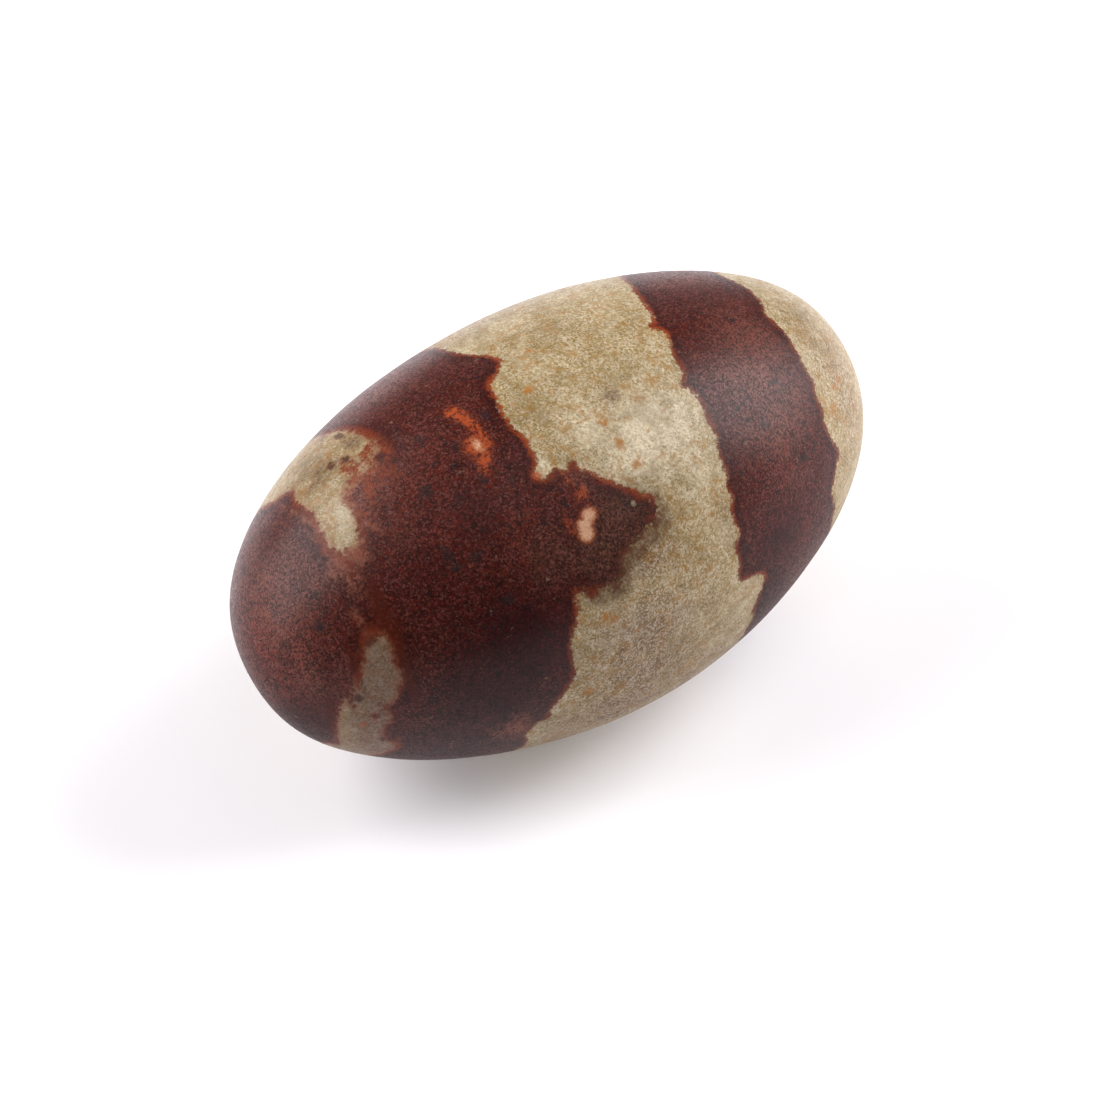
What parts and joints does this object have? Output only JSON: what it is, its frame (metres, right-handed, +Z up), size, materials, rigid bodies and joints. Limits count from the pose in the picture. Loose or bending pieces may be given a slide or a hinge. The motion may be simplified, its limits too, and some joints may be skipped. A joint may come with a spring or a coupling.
{
  "type": "shiva lingam stone",
  "caption": "Egg-shaped river stone, rubbed to a satin finish, with maroon iron bands on tan rock; lies on its side on a small worn flat.",
  "frame": {"origin": "on the resting plane, at the bottom centre of the stone's box, in the small worn flat", "axes": "+X along the long axis towards the end with the pale tip, +Y across the stone, +Z up through the crown"},
  "size_m": [0.064, 0.037, 0.0353],
  "materials": {
    "stone": "satin, rubbed smooth by hand; maroon iron-oxide bands on tan quartz rock"
  },
  "bodies": {
    "root": {"stone": "stone"}
  },
  "joints": []
}
